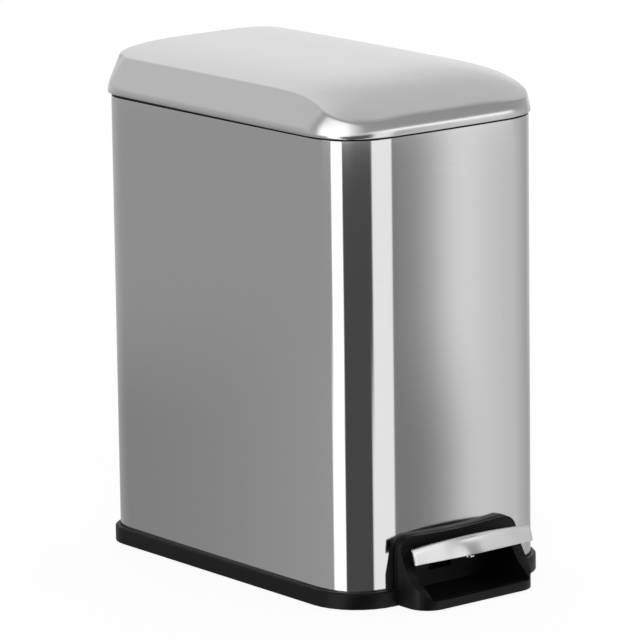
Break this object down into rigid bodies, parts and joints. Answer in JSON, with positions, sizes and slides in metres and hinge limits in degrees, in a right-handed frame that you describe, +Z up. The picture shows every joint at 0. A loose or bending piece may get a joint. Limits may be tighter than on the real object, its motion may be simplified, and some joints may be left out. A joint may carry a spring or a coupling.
{
  "type": "pedal bin",
  "caption": "Slim rectangular pedal bin: brushed steel body and hinged lid, black plastic base with pedal, lift rod and lift-out bucket with bail.",
  "frame": {"origin": "middle of the whole object's plan on the floor, under the rubber feet", "axes": "+Z up; -Y towards the pedal; +Y towards the lid's hinge; +X along the width"},
  "size_m": [0.153, 0.26, 0.2934],
  "materials": {
    "brushed_steel": "fine horizontal brushing, satin",
    "black_plastic": "satin moulded",
    "bucket_plastic": "fine grained",
    "bright_steel": "zinc plated, bright",
    "rubber": "matt"
  },
  "bodies": {
    "body": {"outer_shell": "brushed_steel", "rim_collar": "black_plastic", "base_moulding": "black_plastic", "rubber_foot_1": "rubber", "rubber_foot_2": "rubber", "rubber_foot_3": "rubber", "rubber_foot_4": "rubber", "mechanism_floor": "black_plastic", "floor_screw_1": "bright_steel", "floor_screw_2": "bright_steel", "floor_screw_3": "bright_steel", "floor_screw_4": "bright_steel", "rod_channel": "black_plastic", "lid_bumper_left": "rubber", "lid_bumper_right": "rubber", "hinge_bracket": "black_plastic", "hinge_pin": "bright_steel", "bracket_screw_1": "bright_steel", "bracket_screw_2": "bright_steel", "lever_pin": "bright_steel", "pin_clip_left": "bright_steel", "pin_clip_right": "bright_steel"},
    "bucket": {"inner_bucket": "bucket_plastic"},
    "bail": {"bucket_bail": "bright_steel", "bail_grip": "bucket_plastic"},
    "lid": {"lid_shell": "brushed_steel", "lid_liner": "black_plastic", "horn_pin": "bright_steel"},
    "pedal": {"pedal_plate": "brushed_steel", "pedal_pad": "black_plastic", "pedal_screw": "bright_steel", "pedal_lever": "bright_steel"},
    "lift": {"lift_rod": "bright_steel"}
  },
  "joints": [
    {"name": "lid_hinge", "type": "hinge", "parent": "body", "child": "lid", "pos_m": [0, 0.1255, 0.2603], "axis": [-1, 0, 0], "range_deg": [0, 75]},
    {"name": "pedal_pivot", "type": "hinge", "parent": "body", "child": "pedal", "pos_m": [0, -0.0467, 0.01704], "axis": [1, 0, 0], "range_deg": [0, 7.1]},
    {"name": "rod_slide", "type": "slide", "parent": "body", "child": "lift", "axis": [0, 0, 1], "range_m": [0, 0.0195]},
    {"name": "bucket_lift", "type": "slide", "parent": "body", "child": "bucket", "axis": [0, 0, 1], "range_m": [0, 0.006]},
    {"name": "bail_swing", "type": "hinge", "parent": "bucket", "child": "bail", "pos_m": [0, 0.0012, 0.2531], "axis": [1, 0, 0], "range_deg": [0, 14]}
  ],
  "couplings": [
    {"joint": "pedal_pivot", "follows": "lid_hinge", "ratio": 0.09434},
    {"joint": "rod_slide", "follows": "lid_hinge", "m_per_rad": 0.01488}
  ]
}
